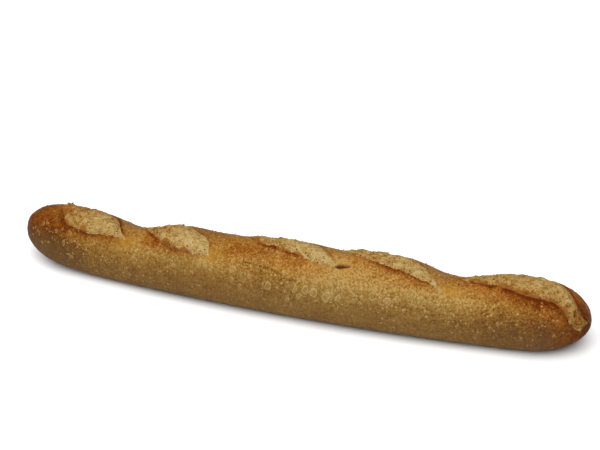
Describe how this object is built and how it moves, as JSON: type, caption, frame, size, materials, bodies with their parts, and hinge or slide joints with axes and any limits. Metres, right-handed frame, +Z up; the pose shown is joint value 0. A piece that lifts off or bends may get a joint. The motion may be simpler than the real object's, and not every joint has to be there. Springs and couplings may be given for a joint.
{
  "type": "sourdough baguette",
  "caption": "Long crusty sourdough loaf with rounded ends, a flat underside and slanting scores opened along its top.",
  "frame": {"origin": "on the table, under the middle of the loaf's box", "axes": "+X along the loaf toward its fuller right end, -Y toward the side the scores slant down to, +Z up"},
  "size_m": [0.52, 0.0754, 0.0587],
  "materials": {
    "crust": "dry baked crust, golden to chestnut brown, with pale torn crumb in the scores"
  },
  "bodies": {
    "root": {"baguette": "crust"}
  },
  "joints": []
}
